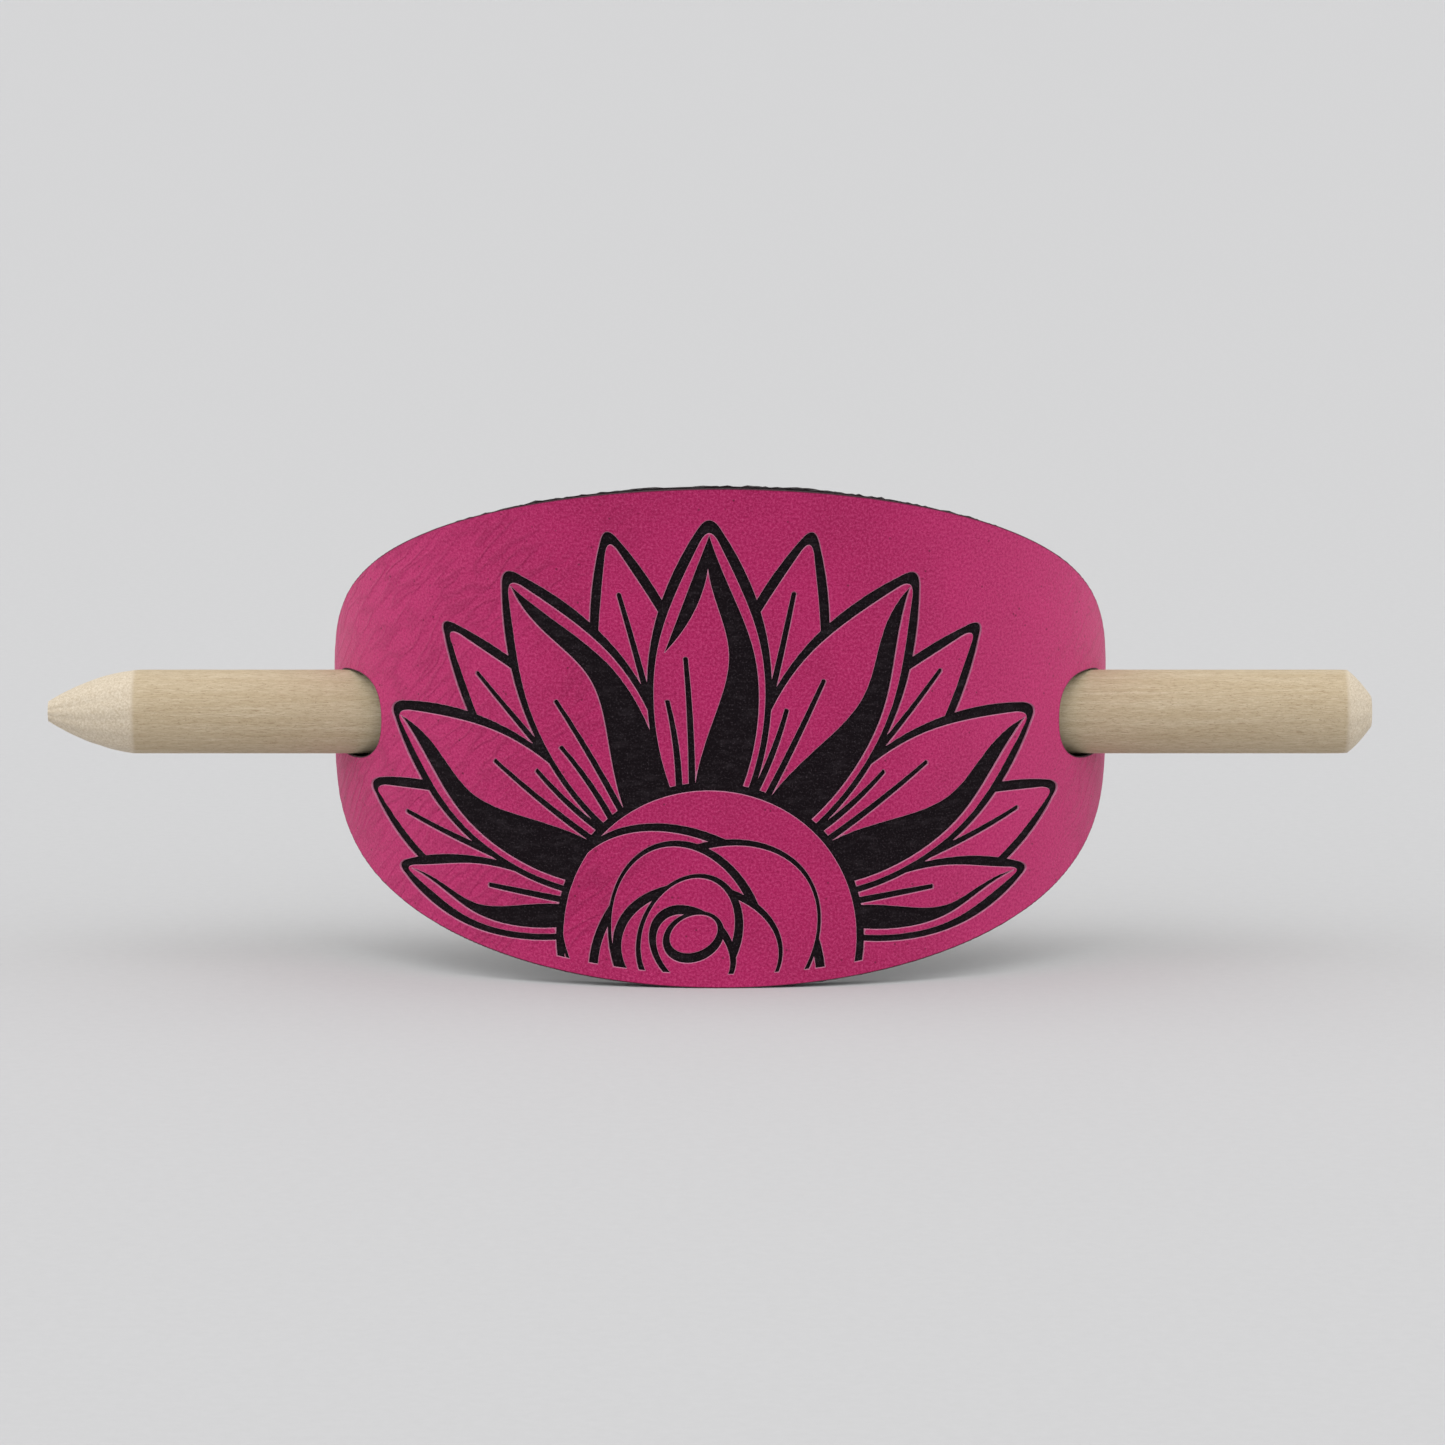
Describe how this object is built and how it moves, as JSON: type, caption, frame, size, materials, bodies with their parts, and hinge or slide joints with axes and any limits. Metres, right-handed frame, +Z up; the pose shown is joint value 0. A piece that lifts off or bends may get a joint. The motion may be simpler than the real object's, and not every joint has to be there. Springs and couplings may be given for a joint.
{
  "type": "decorative hair pin (stick barrette)",
  "caption": "Bowed oval leather-look barrette plate engraved with a half flower, held in the hair by a round wooden stick through its end holes.",
  "frame": {"origin": "middle of the underside of the whole object: centre of its bounding box in X and Y, lowest edge of the plate in Z", "axes": "+X along the stick towards its flat end, +Y towards the wearer's head, +Z up; the engraved face looks along -Y"},
  "size_m": [0.126, 0.0284, 0.0465],
  "materials": {
    "pink_film": "matte, fine grained coating in deep pink",
    "black_core": "matte, burned, near black",
    "dark_backing": "matte, fine brushed cloth",
    "pale_wood": "bare, sanded"
  },
  "bodies": {
    "plate": {"face_film": "pink_film", "core_sheet": "black_core", "backing_fabric": "dark_backing"},
    "stick": {"wooden_stick": "pale_wood"}
  },
  "joints": [
    {"name": "stick_slide", "type": "slide", "parent": "plate", "child": "stick", "axis": [1, 0, 0], "range_m": [-0.02, 0.105]}
  ]
}
